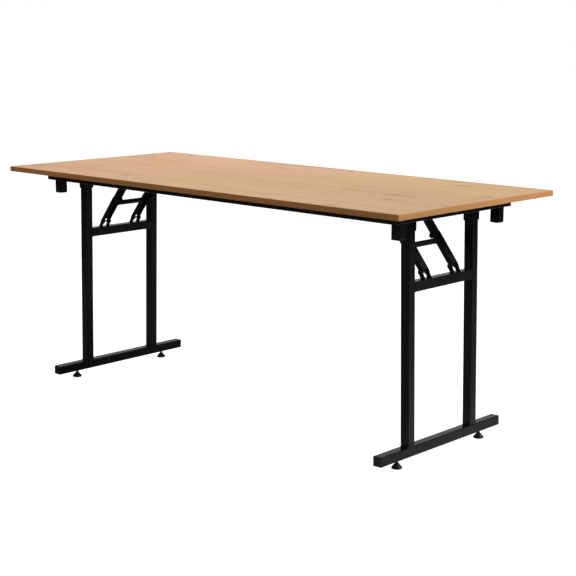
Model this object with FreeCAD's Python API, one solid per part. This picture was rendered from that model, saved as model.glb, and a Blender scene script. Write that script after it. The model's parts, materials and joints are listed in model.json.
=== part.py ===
"""Folding conference table: oak board on a steel frame with two fold-in leg frames.

The floor is z = 0, the origin lies under the middle of the board, +X runs along the board towards the
right leg and -Y is the front long edge. Sizes are in millimetres and angles in degrees.
Each leg frame hangs on two rivets and is held by a pair of knee stays joined by a tie tube.
"""
import FreeCAD
import Part
import math
import os

Vector = FreeCAD.Vector
Rotation = FreeCAD.Rotation
Placement = FreeCAD.Placement

# Board
top_length = 1600.0
top_depth = 700.0
top_thickness = 16.0
table_height = 714.0
band_thickness = 2.0
board_edge_radius = 1.5

# Square tube used for every rail, upright and bar
tube = 28.0
tube_wall = 1.5
tube_corner = 2.5
least_corner = 0.2

# Rails under the board
rail_end_inset = 79.0
rail_side_inset = 91.0

# Stacking stubs
stub_drop = 40.0
stub_shift = 6.5
stub_side_inset = 37.5
cap_flange = 4.0
cap_plug_depth = 15.0
cap_fit = 0.1
cap_edge_radius = 3.0

# Leg hinge
hinge_inset = 130.5
hinge_drop = 18.0
hinge_rivet_d = 8.0
bracket_drop = 33.0
bracket_plate = 3.0
bracket_gap = 1.0
bracket_corner = 4.0
bush_wall = 2.0
bush_end_gap = 0.2
upright_head = 12.0
head_clearance = 0.4

# Leg frame
lean = 1.45
upright_pitch = 284.4
crossbar_drop = 150.5
foot_bar_length = 547.0
floor_gap = 23.5

# Levelling feet
foot_end_inset = 84.5
stud_d = 8.0
stud_head_gap = 0.2
stud_socket_floor = 7.0
pad_d = 29.5
pad_rim = 4.5
pad_bottom_chamfer = 1.2
pad_height = 15.5
pad_neck_d = 9.6
nut_flats = 13.0
nut_height = 6.5

# Knee stays
stay_pitch = 132.0
stay_top_inset = 125.9
stay_top_gap = 22.8
stay_foot_inset = 6.2
lug_height = 17.1
lug_plate = 3.0
lug_foot_shift = 9.0
lug_foot_width = 14.0
lower_arm_width = 25.0
arm_plate = 2.0
arm_low = 4.0
upper_arm_low = 6.5
arm_high = 11.5
arm_bend_radius = 1.8
lobe_radius = 8.0
lobe_shoulder_angle = 60.0
knee_reach = 102.3
knee_offset = 4.8
lower_web_start = 1.5
lower_flange_overrun = 3.0
web_gap_length = 40.0
tongue_end_gap = 1.5
upper_web_end = 14.0
side_clearance = 0.3
stay_rivet_d = 6.0
tie_d = 16.0
tie_wall = 1.5
tie_below_knee = 20.9
tie_height = 2.0
stay_rail_gap = 12.0
stay_bracket_plate = 3.0
stay_bracket_top_gap = 2.0

# Rivet heads and running fits
running_fit = 0.05
rivet_head_ratio = 1.75
rivet_head_height = 2.0
rivet_crown_ratio = 0.6

# Wood screws that hold the rails to the board
screw_d = 4.8
screw_head_d = 9.0
screw_head_height = 3.0
screw_bite = 11.5
screw_fit = 0.1
screw_access_d = 11.0
screw_end_inset = 121.0
screws_per_rail = 4

# Nearness for picking edges by their place
match = 1e-4

# Derived levels and places
tube_inside = tube - 2 * tube_wall
tube_inside_corner = max(tube_corner - tube_wall, least_corner)
underside = table_height - top_thickness
rail_bottom = underside - tube
frame_x = top_length / 2 - rail_end_inset
frame_y = top_depth / 2 - rail_side_inset
pivot_x = top_length / 2 - hinge_inset
pivot_z = rail_bottom - hinge_drop
upright_y = upright_pitch / 2
foot_y = foot_bar_length / 2 - foot_end_inset
stay_y = stay_pitch / 2
leg_frame = Placement(Vector(pivot_x, 0, pivot_z), Rotation(Vector(0, 1, 0), -lean))
lean_rad = math.radians(lean)
bar_bottom = -(pivot_z - floor_gap) / math.cos(lean_rad)
bar_top = bar_bottom + tube
floor_local = -pivot_z / math.cos(lean_rad)

# Stay line from the lug rivet to the top rivet, with its own along and across directions
stay_foot = leg_frame.multVec(Vector(-stay_foot_inset, 0, lug_height - crossbar_drop))
stay_top = Vector(pivot_x - stay_top_inset, 0, underside - stay_top_gap)
stay_length = (stay_top - stay_foot).Length
stay_along = (stay_top - stay_foot).normalize()
stay_across = Vector(stay_along.z, 0, -stay_along.x)
upper_arm_width = lower_arm_width - 2 * arm_plate - 2 * side_clearance
stay_rail_x = stay_top.x - stay_rail_gap - tube / 2


# Shape helpers
def rounded_square(size, radius, z=0.0):
    """Closed wire of a square with round corners, centred on the Z axis."""
    half = size / 2
    flat = half - radius
    diagonal = flat + radius * math.sqrt(0.5)
    edges = []
    for turn in range(4):
        spin = Rotation(Vector(0, 0, 1), 90 * turn)
        start = spin.multVec(Vector(half, -flat, z))
        end = spin.multVec(Vector(half, flat, z))
        middle = spin.multVec(Vector(diagonal, diagonal, z))
        after = spin.multVec(Vector(flat, half, z))
        edges.append(Part.LineSegment(start, end).toShape())
        edges.append(Part.Arc(end, middle, after).toShape())
    return Part.Wire(edges)


def square_tube(length):
    """Square tube standing on z = 0, centred on the Z axis."""
    outer = Part.Face(rounded_square(tube, tube_corner))
    inner = Part.Face(rounded_square(tube_inside, tube_inside_corner))
    return outer.cut(inner).extrude(Vector(0, 0, length))


def along_x(shape, x, y, z):
    """Lays a shape built up from z = 0 along +X, starting at the given point."""
    return placed(shape, Placement(Vector(x, y, z), Rotation(Vector(0, 1, 0), 90)))


def along_y(shape, x, y, z):
    """Lays a shape built up from z = 0 along +Y, starting at the given point."""
    return placed(shape, Placement(Vector(x, y, z), Rotation(Vector(1, 0, 0), -90)))


def placed(shape, placement):
    """Copy of a shape, moved by a placement."""
    moved = shape.copy()
    moved.Placement = placement.multiply(moved.Placement)
    return moved


def mirrored(shape):
    """Copy of a right-hand shape for the left end of the table."""
    return shape.mirror(Vector(0, 0, 0), Vector(1, 0, 0))


def block(x0, x1, y0, y1, z0, z1):
    """Box between two corners."""
    return Part.makeBox(x1 - x0, y1 - y0, z1 - z0, Vector(x0, y0, z0))


def plate_y(points, y0, y1):
    """Flat plate with its outline in the XZ plane, from y0 to y1."""
    corners = [Vector(p.x, y0, p.z) for p in points]
    face = Part.Face(Part.makePolygon(corners + corners[:1]))
    return face.extrude(Vector(0, y1 - y0, 0))


def pin_y(radius, centre, y0, y1):
    """Round pin along Y."""
    return Part.makeCylinder(radius, y1 - y0, Vector(centre.x, y0, centre.z), Vector(0, 1, 0))


def disc_z(radius, x, y, z0, z1):
    """Round disc or drill along Z."""
    return Part.makeCylinder(radius, z1 - z0, Vector(x, y, z0))


def rivet_y(diameter, centre, y0, y1):
    """Rivet along Y with a low domed head beyond each end."""
    shank = pin_y(diameter / 2, centre, y0, y1)
    head_r = diameter * rivet_head_ratio / 2
    crown_r = head_r * rivet_crown_ratio
    for y, way in ((y0, -1), (y1, 1)):
        base = Vector(centre.x, y, centre.z)
        head = Part.makeCone(head_r, crown_r, rivet_head_height, base, Vector(0, way, 0))
        shank = shank.fuse(head)
    return shank.removeSplitter()


def fuse_all(shapes):
    """One solid from several touching or crossing solids."""
    return shapes[0].fuse(shapes[1:]).removeSplitter()


def group(shapes):
    """Several separate solids in one node."""
    return Part.makeCompound(shapes)


def leg_place(shape):
    """Moves a shape from the leg's upright frame, with the hinge at its origin, to the leaning leg."""
    return placed(shape, leg_frame)


def stay_point(along, across):
    """Point of the stay's side view, measured from the lug rivet."""
    return stay_foot + stay_along * along + stay_across * across


def lobe_shoulder(along, way):
    """Point on the rim of a lobe where an arm's slanted end edge meets it."""
    angle = math.radians(lobe_shoulder_angle)
    return stay_point(along + way * lobe_radius * math.cos(angle), lobe_radius * math.sin(angle))


knee = stay_point(knee_reach, -knee_offset)


# Board with its glued edge bands
def board_slab():
    """Whole board with its bands, eased on all edges."""
    slab = block(-top_length / 2, top_length / 2, -top_depth / 2, top_depth / 2, underside, table_height)
    return slab.makeFillet(board_edge_radius, slab.Edges)


def screw_places():
    """Screw centres on the rails, as x, y pairs."""
    rail_y = frame_y - tube / 2
    end_x = frame_x - tube / 2
    first = screw_end_inset - frame_x
    pitch = -2 * first / (screws_per_rail - 1)
    long_rail = [(first + pitch * i, y) for i in range(screws_per_rail) for y in (-rail_y, rail_y)]
    return long_rail + [(-end_x, 0.0), (end_x, 0.0)]


def board_pieces():
    """Board core and its four edge bands."""
    slab = board_slab()
    half_x = top_length / 2 - band_thickness
    half_y = top_depth / 2 - band_thickness
    core = block(-half_x, half_x, -half_y, half_y, underside, table_height)
    for x, y in screw_places():
        core = core.cut(disc_z(screw_d / 2 + screw_fit, x, y, underside, underside + screw_bite + screw_fit))
    reach_x = top_length / 2
    reach_y = top_depth / 2
    front = slab.common(block(-reach_x, reach_x, -reach_y, -half_y, underside, table_height))
    right = slab.common(block(half_x, reach_x, -half_y, half_y, underside, table_height))
    return {
        "top_panel": core,
        "front_edge_band": front,
        "back_edge_band": front.mirror(Vector(0, 0, 0), Vector(0, 1, 0)),
        "right_edge_band": right,
        "left_edge_band": mirrored(right),
    }


# Welded rails under the board
def screw_holes(rail, x, y):
    """Drills the access hole and the screw hole through a rail."""
    access = disc_z(screw_access_d / 2, x, y, rail_bottom, rail_bottom + tube / 2)
    hole = disc_z(screw_d / 2 + screw_fit, x, y, rail_bottom + tube / 2, underside)
    return rail.cut(access).cut(hole)


def mitre_mask(outer, inner, lower, upper):
    """Trapezium prism that gives a rail its mitred ends, with the long side at the lower Y."""
    corners = [Vector(-outer, lower, rail_bottom), Vector(outer, lower, rail_bottom),
               Vector(inner, upper, rail_bottom), Vector(-inner, upper, rail_bottom)]
    return Part.Face(Part.makePolygon(corners + corners[:1])).extrude(Vector(0, 0, tube))


def rails():
    """Mitred outer rails and the two pairs of cross rails."""
    middle = rail_bottom + tube / 2
    front = along_x(square_tube(2 * frame_x), -frame_x, -frame_y + tube / 2, middle)
    front = front.common(mitre_mask(frame_x, frame_x - tube, -frame_y, -frame_y + tube))
    mask = mitre_mask(frame_y, frame_y - tube, -frame_x, -frame_x + tube)
    mask = placed(mask, Placement(Vector(), Rotation(Vector(0, 0, 1), 90)))
    right_end = along_y(square_tube(2 * frame_y), frame_x - tube / 2, -frame_y, middle).common(mask)
    for x, y in screw_places():
        if y < 0:
            front = screw_holes(front, x, y)
        if y == 0 and x > 0:
            right_end = screw_holes(right_end, x, y)
    between = frame_y - tube
    hinge_rail = along_y(square_tube(2 * between), pivot_x, -between, middle)
    stay_rail = along_y(square_tube(2 * between), stay_rail_x, -between, middle)
    return {
        "front_rail": front,
        "back_rail": front.mirror(Vector(0, 0, 0), Vector(0, 1, 0)),
        "right_end_rail": right_end,
        "left_end_rail": mirrored(right_end),
        "right_hinge_rail": hinge_rail,
        "left_hinge_rail": mirrored(hinge_rail),
        "right_stay_rail": stay_rail,
        "left_stay_rail": mirrored(stay_rail),
    }


def frame_screws():
    """Pan-head wood screws from the rails into the board."""
    screws = []
    seat = underside - tube_wall
    for x, y in screw_places():
        head = disc_z(screw_head_d / 2, x, y, seat - screw_head_height, seat)
        shank = disc_z(screw_d / 2, x, y, seat, underside + screw_bite)
        screws.append(head.fuse(shank).removeSplitter())
    return {"frame_screws": group(screws)}


# Square tube caps
def tube_cap():
    """Plastic cap with its flange below z = 0 and its plug above."""
    flange = Part.Face(rounded_square(tube, tube_corner, -cap_flange)).extrude(Vector(0, 0, cap_flange))
    rim = [e for e in flange.Edges if all(abs(v.Z + cap_flange) < match for v in e.Vertexes)]
    flange = flange.makeFillet(cap_edge_radius, rim)
    plug = Part.Face(rounded_square(tube_inside - 2 * cap_fit, tube_inside_corner))
    plug = plug.extrude(Vector(0, 0, cap_plug_depth))
    return flange.fuse(plug).removeSplitter()


def stacking_stubs():
    """Short tubes under the frame corners that carry the next folded table in a stack."""
    stubs = []
    caps = []
    for x in (-1, 1):
        for y in (-1, 1):
            centre_x = x * (frame_x - tube / 2 - stub_shift)
            centre_y = y * (frame_y - stub_side_inset)
            foot = Placement(Vector(centre_x, centre_y, rail_bottom - stub_drop), Rotation())
            stubs.append(placed(square_tube(stub_drop), foot))
            caps.append(placed(tube_cap(), foot))
    return {"stacking_stubs": group(stubs), "stacking_stub_caps": group(caps)}


# Leg hinge brackets and rivets
def hinge_bracket():
    """Bent plate with a cheek on each side of an upright, centred on the hinge rivet."""
    half_y = tube / 2 + bracket_gap + bracket_plate
    gap_y = tube / 2 + bracket_gap
    bottom = hinge_drop - bracket_drop
    body = block(-tube / 2, tube / 2, -half_y, half_y, bottom, hinge_drop)
    lower = [e for e in body.Edges if e.BoundBox.YLength > half_y and abs(e.BoundBox.ZMax - bottom) < match]
    body = body.makeFillet(bracket_corner, lower)
    body = body.cut(block(-tube / 2, tube / 2, -gap_y, gap_y, bottom, hinge_drop - bracket_plate))
    return body.cut(pin_y(hinge_rivet_d / 2 + running_fit, Vector(), -half_y, half_y))


def hinge_parts():
    """Four hinge brackets on the hinge rails and the rivets the legs turn on."""
    half_y = tube / 2 + bracket_gap + bracket_plate
    brackets = []
    rivets = []
    for x in (-pivot_x, pivot_x):
        for y in (-upright_y, upright_y):
            spot = Placement(Vector(x, y, pivot_z), Rotation())
            brackets.append(placed(hinge_bracket(), spot))
            rivets.append(placed(rivet_y(hinge_rivet_d, Vector(), -half_y, half_y), spot))
    return {"hinge_brackets": group(brackets), "hinge_rivets": group(rivets)}


# Leg frame, drawn upright with the hinge at the origin
def upright(y):
    """Upright tube with a rounded head and the cross hole for its hinge bush."""
    post = placed(square_tube(upright_head - bar_top), Placement(Vector(0, y, bar_top), Rotation()))
    head_radius = hinge_drop - bracket_plate - head_clearance
    corners = block(-tube, tube, y - tube, y + tube, 0, tube)
    post = post.cut(corners.cut(pin_y(head_radius, Vector(), y - tube, y + tube)))
    hole = pin_y(hinge_rivet_d / 2 + running_fit + bush_wall + cap_fit, Vector(), y - tube, y + tube)
    return post.cut(hole)


def hinge_bush(y):
    """Nylon bush through an upright, a little longer than the tube so it spaces the cheeks."""
    half = tube / 2 + bracket_gap - bush_end_gap
    bore = hinge_rivet_d / 2 + running_fit
    sleeve = pin_y(bore + bush_wall, Vector(), y - half, y + half)
    return sleeve.cut(pin_y(bore, Vector(), y - half, y + half))


def foot_bar():
    """Foot bar with a hole in its underside for each levelling stud."""
    length = foot_bar_length - 2 * cap_flange
    bar = along_y(square_tube(length), 0, -length / 2, bar_bottom + tube / 2)
    for y in (-foot_y, foot_y):
        bar = bar.cut(disc_z(stud_d / 2 + running_fit, 0, y, bar_bottom - tube_wall, bar_bottom + tube / 2))
    return bar


def foot_bar_caps():
    """Caps in both ends of the foot bar."""
    end = foot_bar_length / 2 - cap_flange
    middle = bar_bottom + tube / 2
    front = placed(tube_cap(), Placement(Vector(0, -end, middle), Rotation(Vector(1, 0, 0), -90)))
    back = placed(tube_cap(), Placement(Vector(0, end, middle), Rotation(Vector(1, 0, 0), 90)))
    return group([front, back])


def foot_nut(y):
    """Hexagon weld nut on the floor of the foot bar."""
    floor = bar_bottom + tube_wall
    start = Vector(nut_flats / math.sqrt(3), 0, 0)
    centre = Vector(0, y, floor)
    corners = [centre + Rotation(Vector(0, 0, 1), 60 * i).multVec(start) for i in range(6)]
    nut = Part.Face(Part.makePolygon(corners + corners[:1])).extrude(Vector(0, 0, nut_height))
    return nut.cut(disc_z(stud_d / 2 + running_fit, 0, y, floor, floor + nut_height))


def stay_lugs():
    """Pairs of ear plates welded on the crossbar for the lower ends of the stays."""
    head = Vector(-stay_foot_inset, 0, lug_height - crossbar_drop)
    foot = Vector(head.x + lug_foot_shift, 0, -crossbar_drop)
    half = lug_foot_width / 2
    outline = [Vector(foot.x - half, 0, foot.z), Vector(foot.x + half, 0, foot.z),
               Vector(head.x + lobe_radius, 0, head.z), Vector(head.x - lobe_radius, 0, head.z)]
    inner = lower_arm_width / 2 + side_clearance
    lugs = []
    for centre in (-stay_y, stay_y):
        for side in (-1, 1):
            y0 = centre + side * inner
            y1 = y0 + side * lug_plate
            low = min(y0, y1)
            high = max(y0, y1)
            lug = fuse_all([plate_y(outline, low, high), pin_y(lobe_radius, head, low, high)])
            lugs.append(lug.cut(pin_y(stay_rivet_d / 2 + running_fit, head, low, high)))
    return group(lugs)


def stay_foot_rivets():
    """Rivets that carry the lower stay arms between their lugs."""
    head = Vector(-stay_foot_inset, 0, lug_height - crossbar_drop)
    half = lower_arm_width / 2 + side_clearance + lug_plate
    return group([rivet_y(stay_rivet_d, head, y - half, y + half) for y in (-stay_y, stay_y)])


def leg_parts():
    """All pieces of the right leg frame, set at their lean."""
    inside = 2 * upright_y - tube
    crossbar = along_y(square_tube(inside), 0, -inside / 2, -crossbar_drop - tube / 2)
    pieces = {
        "front_upright": upright(-upright_y),
        "back_upright": upright(upright_y),
        "crossbar": crossbar,
        "foot_bar": foot_bar(),
        "foot_bar_caps": foot_bar_caps(),
        "hinge_bushes": group([hinge_bush(-upright_y), hinge_bush(upright_y)]),
        "foot_nuts": group([foot_nut(-foot_y), foot_nut(foot_y)]),
        "stay_lugs": stay_lugs(),
        "stay_foot_rivets": stay_foot_rivets(),
    }
    return {name: leg_place(shape) for name, shape in pieces.items()}


# Levelling feet
def foot_stud(y):
    """Threaded stud, drawn plain, that screws up into the foot bar."""
    low = floor_local + stud_socket_floor / math.cos(lean_rad)
    high = bar_top - tube_wall - stud_head_gap
    return leg_place(disc_z(stud_d / 2, 0, y, low, high))


def foot_pad(y):
    """Cone-shaped pad that stands flat on the floor under its leaning stud."""
    rim_r = pad_d / 2
    neck_r = pad_neck_d / 2
    outline = [Vector(0, 0, 0), Vector(rim_r - pad_bottom_chamfer, 0, 0),
               Vector(rim_r, 0, pad_bottom_chamfer), Vector(rim_r, 0, pad_rim),
               Vector(neck_r, 0, pad_height), Vector(0, 0, pad_height)]
    face = Part.Face(Part.makePolygon(outline + outline[:1]))
    pad = face.revolve(Vector(0, 0, 0), Vector(0, 0, 1), 360)
    pad = placed(pad, Placement(Vector(pivot_x + pivot_z * math.tan(lean_rad), y, 0), Rotation()))
    socket_low = floor_local + stud_socket_floor / math.cos(lean_rad)
    return pad.cut(leg_place(disc_z(stud_d / 2, 0, y, socket_low, bar_bottom)))


# Knee stays, drawn in place at the front or back of the right leg
def arm_channel(outline, lobes, width, web_start, web_end):
    """U channel with round lobes on its two flanges and a web along its upper side.

    The outline is the flange's side view, and the web runs between two distances along the stay.
    """
    half = width / 2
    inside = half - arm_plate
    flange = fuse_all([plate_y(outline, -half, half)] + [pin_y(lobe_radius, c, -half, half) for c in lobes])
    far = stay_length + lobe_radius
    under = -knee_offset - 2 * lobe_radius
    web_under = arm_high - arm_plate
    hollow = [stay_point(-far, under), stay_point(2 * far, under),
              stay_point(2 * far, web_under), stay_point(-far, web_under)]
    flange = flange.cut(plate_y(hollow, -inside, inside))
    for start, end in ((-far, web_start), (web_end, 2 * far)):
        opening = [stay_point(start, under), stay_point(end, under),
                   stay_point(end, 2 * arm_high), stay_point(start, 2 * arm_high)]
        flange = flange.cut(plate_y(opening, -inside, inside))
    return flange


def bend_edges(channel, width, start, end):
    """Long outer edges of the channel between two distances along the stay, where the plate is bent."""
    found = []
    for edge in channel.Edges:
        middle = edge.CenterOfMass
        offset = middle - stay_foot
        at_top = abs(offset.dot(stay_across) - arm_high) < match
        at_side = abs(abs(middle.y) - width / 2) < match
        within = start <= offset.dot(stay_along) <= end
        if at_top and at_side and within:
            found.append(edge)
    return found


def lower_arm(centre_y):
    """Outer channel from the lugs up to the knee, open above the knee tongue."""
    web_end = knee_reach - web_gap_length
    flange_end = knee_reach + lower_flange_overrun
    outline = [stay_point(lower_web_start, arm_high), stay_point(flange_end, arm_high),
               stay_point(flange_end, -arm_low), stay_point(0, -arm_low), stay_point(0, 0),
               lobe_shoulder(0, -1)]
    arm = arm_channel(outline, [stay_foot, knee], lower_arm_width, lower_web_start, web_end)
    arm = arm.makeFillet(arm_bend_radius, bend_edges(arm, lower_arm_width, 0, stay_length))
    half = lower_arm_width / 2
    arm = arm.cut(pin_y(stay_rivet_d / 2 + running_fit, stay_foot, -half, half))
    arm = arm.cut(pin_y(stay_rivet_d / 2, knee, -half, half))
    return placed(arm, Placement(Vector(0, centre_y, 0), Rotation()))


def upper_arm(centre_y):
    """Inner channel from the knee up to the stay bracket, with a tongue that runs on past the knee."""
    tongue_end = knee_reach - web_gap_length + tongue_end_gap
    web_end = stay_length - upper_web_end
    outline = [stay_point(knee_reach, arm_high), stay_point(stay_length - lobe_radius, arm_high),
               lobe_shoulder(stay_length, 1),
               stay_point(stay_length, 0), stay_point(stay_length, -upper_arm_low),
               stay_point(knee_reach, -upper_arm_low)]
    arm = arm_channel(outline, [knee, stay_top], upper_arm_width, knee_reach, web_end)
    arm = arm.makeFillet(arm_bend_radius, bend_edges(arm, upper_arm_width, 0, stay_length))
    half = upper_arm_width / 2
    web_under = arm_high - arm_plate
    tongue = plate_y([stay_point(tongue_end, web_under), stay_point(knee_reach, web_under),
                      stay_point(knee_reach, arm_high), stay_point(tongue_end, arm_high)],
                     arm_plate - half, half - arm_plate)
    arm = fuse_all([arm, tongue])
    arm = arm.cut(pin_y(stay_rivet_d / 2 + running_fit, stay_top, -half, half))
    arm = arm.cut(pin_y(stay_rivet_d / 2 + running_fit, knee, -half, half))
    return placed(arm, Placement(Vector(0, centre_y, 0), Rotation()))


def knee_rivets():
    """Knee rivets, one in each flange of the two lower arms."""
    outer = lower_arm_width / 2
    head_r = stay_rivet_d * rivet_head_ratio / 2
    rivets = []
    for centre in (-stay_y, stay_y):
        for side in (-1, 1):
            face = centre + side * outer
            inner = face - side * arm_plate
            shank = pin_y(stay_rivet_d / 2, knee, min(face, inner), max(face, inner))
            head = Part.makeCone(head_r, head_r * rivet_crown_ratio, rivet_head_height,
                                 Vector(knee.x, face, knee.z), Vector(0, side, 0))
            rivets.append(shank.fuse(head).removeSplitter())
    return group(rivets)


def tie_tube():
    """Round tube welded between the two lower arms, which the hand pushes to break the knees."""
    centre = stay_point(knee_reach - tie_below_knee, tie_height)
    half = stay_y - lower_arm_width / 2
    return pin_y(tie_d / 2, centre, -half, half).cut(pin_y(tie_d / 2 - tie_wall, centre, -half, half))


def stay_bracket(centre_y):
    """Bent bracket on the stay rail with two cheeks inside the upper arm."""
    half = upper_arm_width / 2 - arm_plate - side_clearance
    face_x = stay_rail_x + tube / 2
    low = stay_top.z - lobe_radius
    high = underside - stay_bracket_top_gap
    outline = [Vector(face_x, 0, low), Vector(stay_top.x, 0, low),
               Vector(stay_top.x, 0, stay_top.z + lobe_radius),
               Vector(face_x + stay_bracket_plate, 0, high), Vector(face_x, 0, high)]
    body = fuse_all([plate_y(outline, -half, half), pin_y(lobe_radius, stay_top, -half, half)])
    inside = half - stay_bracket_plate
    reach = stay_top.x + 2 * lobe_radius
    body = body.cut(block(face_x + stay_bracket_plate, reach, -inside, inside, low, high))
    body = body.cut(pin_y(stay_rivet_d / 2 + running_fit, stay_top, -half, half))
    return placed(body, Placement(Vector(0, centre_y, 0), Rotation()))


def stay_top_rivet(centre_y):
    """Flush rivet through the upper arm and its bracket."""
    half = upper_arm_width / 2
    return pin_y(stay_rivet_d / 2, stay_top, centre_y - half, centre_y + half)


def stay_root_parts():
    """Stay brackets and flush rivets at both ends of the table."""
    brackets = [stay_bracket(y) for y in (-stay_y, stay_y)]
    rivets = [stay_top_rivet(y) for y in (-stay_y, stay_y)]
    return {
        "stay_brackets": group(brackets + [mirrored(b) for b in brackets]),
        "stay_top_rivets": group(rivets + [mirrored(r) for r in rivets]),
    }


def stay_parts():
    """Moving pieces of the right pair of stays."""
    return {
        "front_lower_arm": lower_arm(-stay_y),
        "back_lower_arm": lower_arm(stay_y),
        "tie_tube": tie_tube(),
        "knee_rivets": knee_rivets(),
        "front_upper_arm": upper_arm(-stay_y),
        "back_upper_arm": upper_arm(stay_y),
    }


def table_nodes():
    """Every node of the table by name."""
    nodes = {}
    for make in (board_pieces, rails, stacking_stubs, hinge_parts, stay_root_parts, frame_screws):
        nodes.update(make())
    for name, shape in {**leg_parts(), **stay_parts()}.items():
        nodes["right_" + name] = shape
        nodes["left_" + name] = mirrored(shape)
    for end, y in (("front", -foot_y), ("back", foot_y)):
        for name, shape in (("foot_stud", foot_stud(y)), ("foot_pad", foot_pad(y))):
            nodes[f"{end}_right_{name}"] = shape
            nodes[f"{end}_left_{name}"] = mirrored(shape)
    return nodes


def main():
    os.makedirs("parts", exist_ok=True)
    for name, shape in table_nodes().items():
        shape.exportStep(f"parts/{name}.step")
        print(name, len(shape.Solids), "solids", round(shape.Volume, 1), "mm3", shape.isValid())


main()
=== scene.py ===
# %% [markdown]
# Folding conference table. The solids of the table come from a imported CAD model, which is loaded as a
# fixed frame: nothing in it is moved here. This script gives every piece its finish, and builds anew the
# small pieces that a plain solid can't show well: domed rivets, threaded feet, moulded pads and weld beads.

# %% Load the table
import json
import math

import bpy
from mathutils import Matrix, Vector


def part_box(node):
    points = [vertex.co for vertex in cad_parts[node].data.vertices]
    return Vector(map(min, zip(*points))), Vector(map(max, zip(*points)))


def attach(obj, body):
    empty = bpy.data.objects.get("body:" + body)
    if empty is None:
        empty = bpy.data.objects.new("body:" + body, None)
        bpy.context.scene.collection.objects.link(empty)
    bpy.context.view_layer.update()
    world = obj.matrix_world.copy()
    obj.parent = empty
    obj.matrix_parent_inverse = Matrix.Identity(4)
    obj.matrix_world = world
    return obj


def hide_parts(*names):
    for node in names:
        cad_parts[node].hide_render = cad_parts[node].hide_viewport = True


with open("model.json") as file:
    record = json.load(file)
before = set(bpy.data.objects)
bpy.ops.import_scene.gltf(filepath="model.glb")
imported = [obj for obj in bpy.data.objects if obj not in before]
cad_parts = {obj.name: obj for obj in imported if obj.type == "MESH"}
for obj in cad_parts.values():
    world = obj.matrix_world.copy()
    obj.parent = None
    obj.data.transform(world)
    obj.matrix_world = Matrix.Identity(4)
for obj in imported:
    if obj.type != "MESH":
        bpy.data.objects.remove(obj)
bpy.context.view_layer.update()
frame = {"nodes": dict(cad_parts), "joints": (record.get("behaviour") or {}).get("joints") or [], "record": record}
scene = bpy.context.scene

# %% [markdown]
# A product photo is taken from a definite place. The lens and the place below came from matching the
# board's corners and the feet with a pinhole camera, so the render can be laid over the picture.
# The picture seems to be cropped off its middle. A small shift of the lens, a fifth of what the best match
# asks for, already brings edges to about half a pixel from their places on average.
# The camera is turned by building its three axes, which is easier to check than a set of angles.

# %% Camera
FRAME_PX = 576
FOCAL_PX = 1338.181
MIDDLE_PX = (279.509, 294.438)
SENSOR_MM = 36.0
CAMERA_REACH = 60
CAMERA_PLACE = Vector((2.8093, -2.9046, 1.1728))
CAMERA_YAW, CAMERA_PITCH, CAMERA_ROLL = (math.radians(a) for a in (43.2933, 11.4800, -0.2032))

forward = Vector((-math.sin(CAMERA_YAW) * math.cos(CAMERA_PITCH),
                  math.cos(CAMERA_YAW) * math.cos(CAMERA_PITCH), -math.sin(CAMERA_PITCH)))
level_right = Vector((math.cos(CAMERA_YAW), math.sin(CAMERA_YAW), 0))
level_down = forward.cross(level_right)
camera_right = level_right * math.cos(CAMERA_ROLL) + level_down * math.sin(CAMERA_ROLL)
camera_up = level_right * math.sin(CAMERA_ROLL) - level_down * math.cos(CAMERA_ROLL)

camera_data = bpy.data.cameras.new("photo_camera")
camera_data.sensor_width = SENSOR_MM
camera_data.lens = FOCAL_PX * SENSOR_MM / FRAME_PX
camera_data.shift_x = 0.5 - MIDDLE_PX[0] / FRAME_PX
camera_data.shift_y = MIDDLE_PX[1] / FRAME_PX - 0.5
camera_data.clip_end = CAMERA_REACH
camera = bpy.data.objects.new("photo_camera", camera_data)
scene.collection.objects.link(camera)
camera.matrix_world = Matrix.Translation(CAMERA_PLACE) @ Matrix(
    (camera_right, camera_up, -forward)).transposed().to_4x4()
scene.camera = camera
lens_shift = [round(s, 4) for s in (camera_data.shift_x, camera_data.shift_y)]
print("lens", round(camera_data.lens, 2), "mm, shift", lens_shift)

# %% [markdown]
# Node trees are built with three small helpers: one adds a node and fills its sockets, one does sums, and
# one starts a group with named sockets. Keeping them short makes the trees below read like recipes.

# %% Node helpers
def add_node(tree, kind, sockets=None, **settings):
    """Adds a node, sets its properties and fills the sockets that are given by name or number."""
    made = tree.nodes.new(kind)
    for name, value in settings.items():
        setattr(made, name, value)
    for name, value in (sockets or {}).items():
        if isinstance(value, bpy.types.NodeSocket):
            tree.links.new(value, made.inputs[name])
        else:
            made.inputs[name].default_value = value
    return made


def maths(tree, operation, first, second=0.0):
    """Adds a math node and returns its output."""
    return add_node(tree, "ShaderNodeMath", {0: first, 1: second}, operation=operation).outputs[0]


def new_group(name, kind, inputs, outputs):
    """Makes a node group with named sockets and returns it with its input and output nodes."""
    tree = bpy.data.node_groups.new(name, kind)
    for title, socket, default in inputs:
        made = tree.interface.new_socket(name=title, in_out="INPUT", socket_type=socket)
        if default is not None:
            made.default_value = default
    for title, socket in outputs:
        tree.interface.new_socket(name=title, in_out="OUTPUT", socket_type=socket)
    return tree, tree.nodes.new("NodeGroupInput"), tree.nodes.new("NodeGroupOutput")


print("node helpers ready")

# %% [markdown]
# The board's laminate is a print of knotty oak: long soft streaks, fine pore lines, small darker knots that
# the growth lines flow around, and a slow drift from pinkish to yellowish wood. All of that is the same
# stretched noise at several widths, so it is one shader group that both the board and its edge bands use.
# Its first axis runs along the grain.

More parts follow.
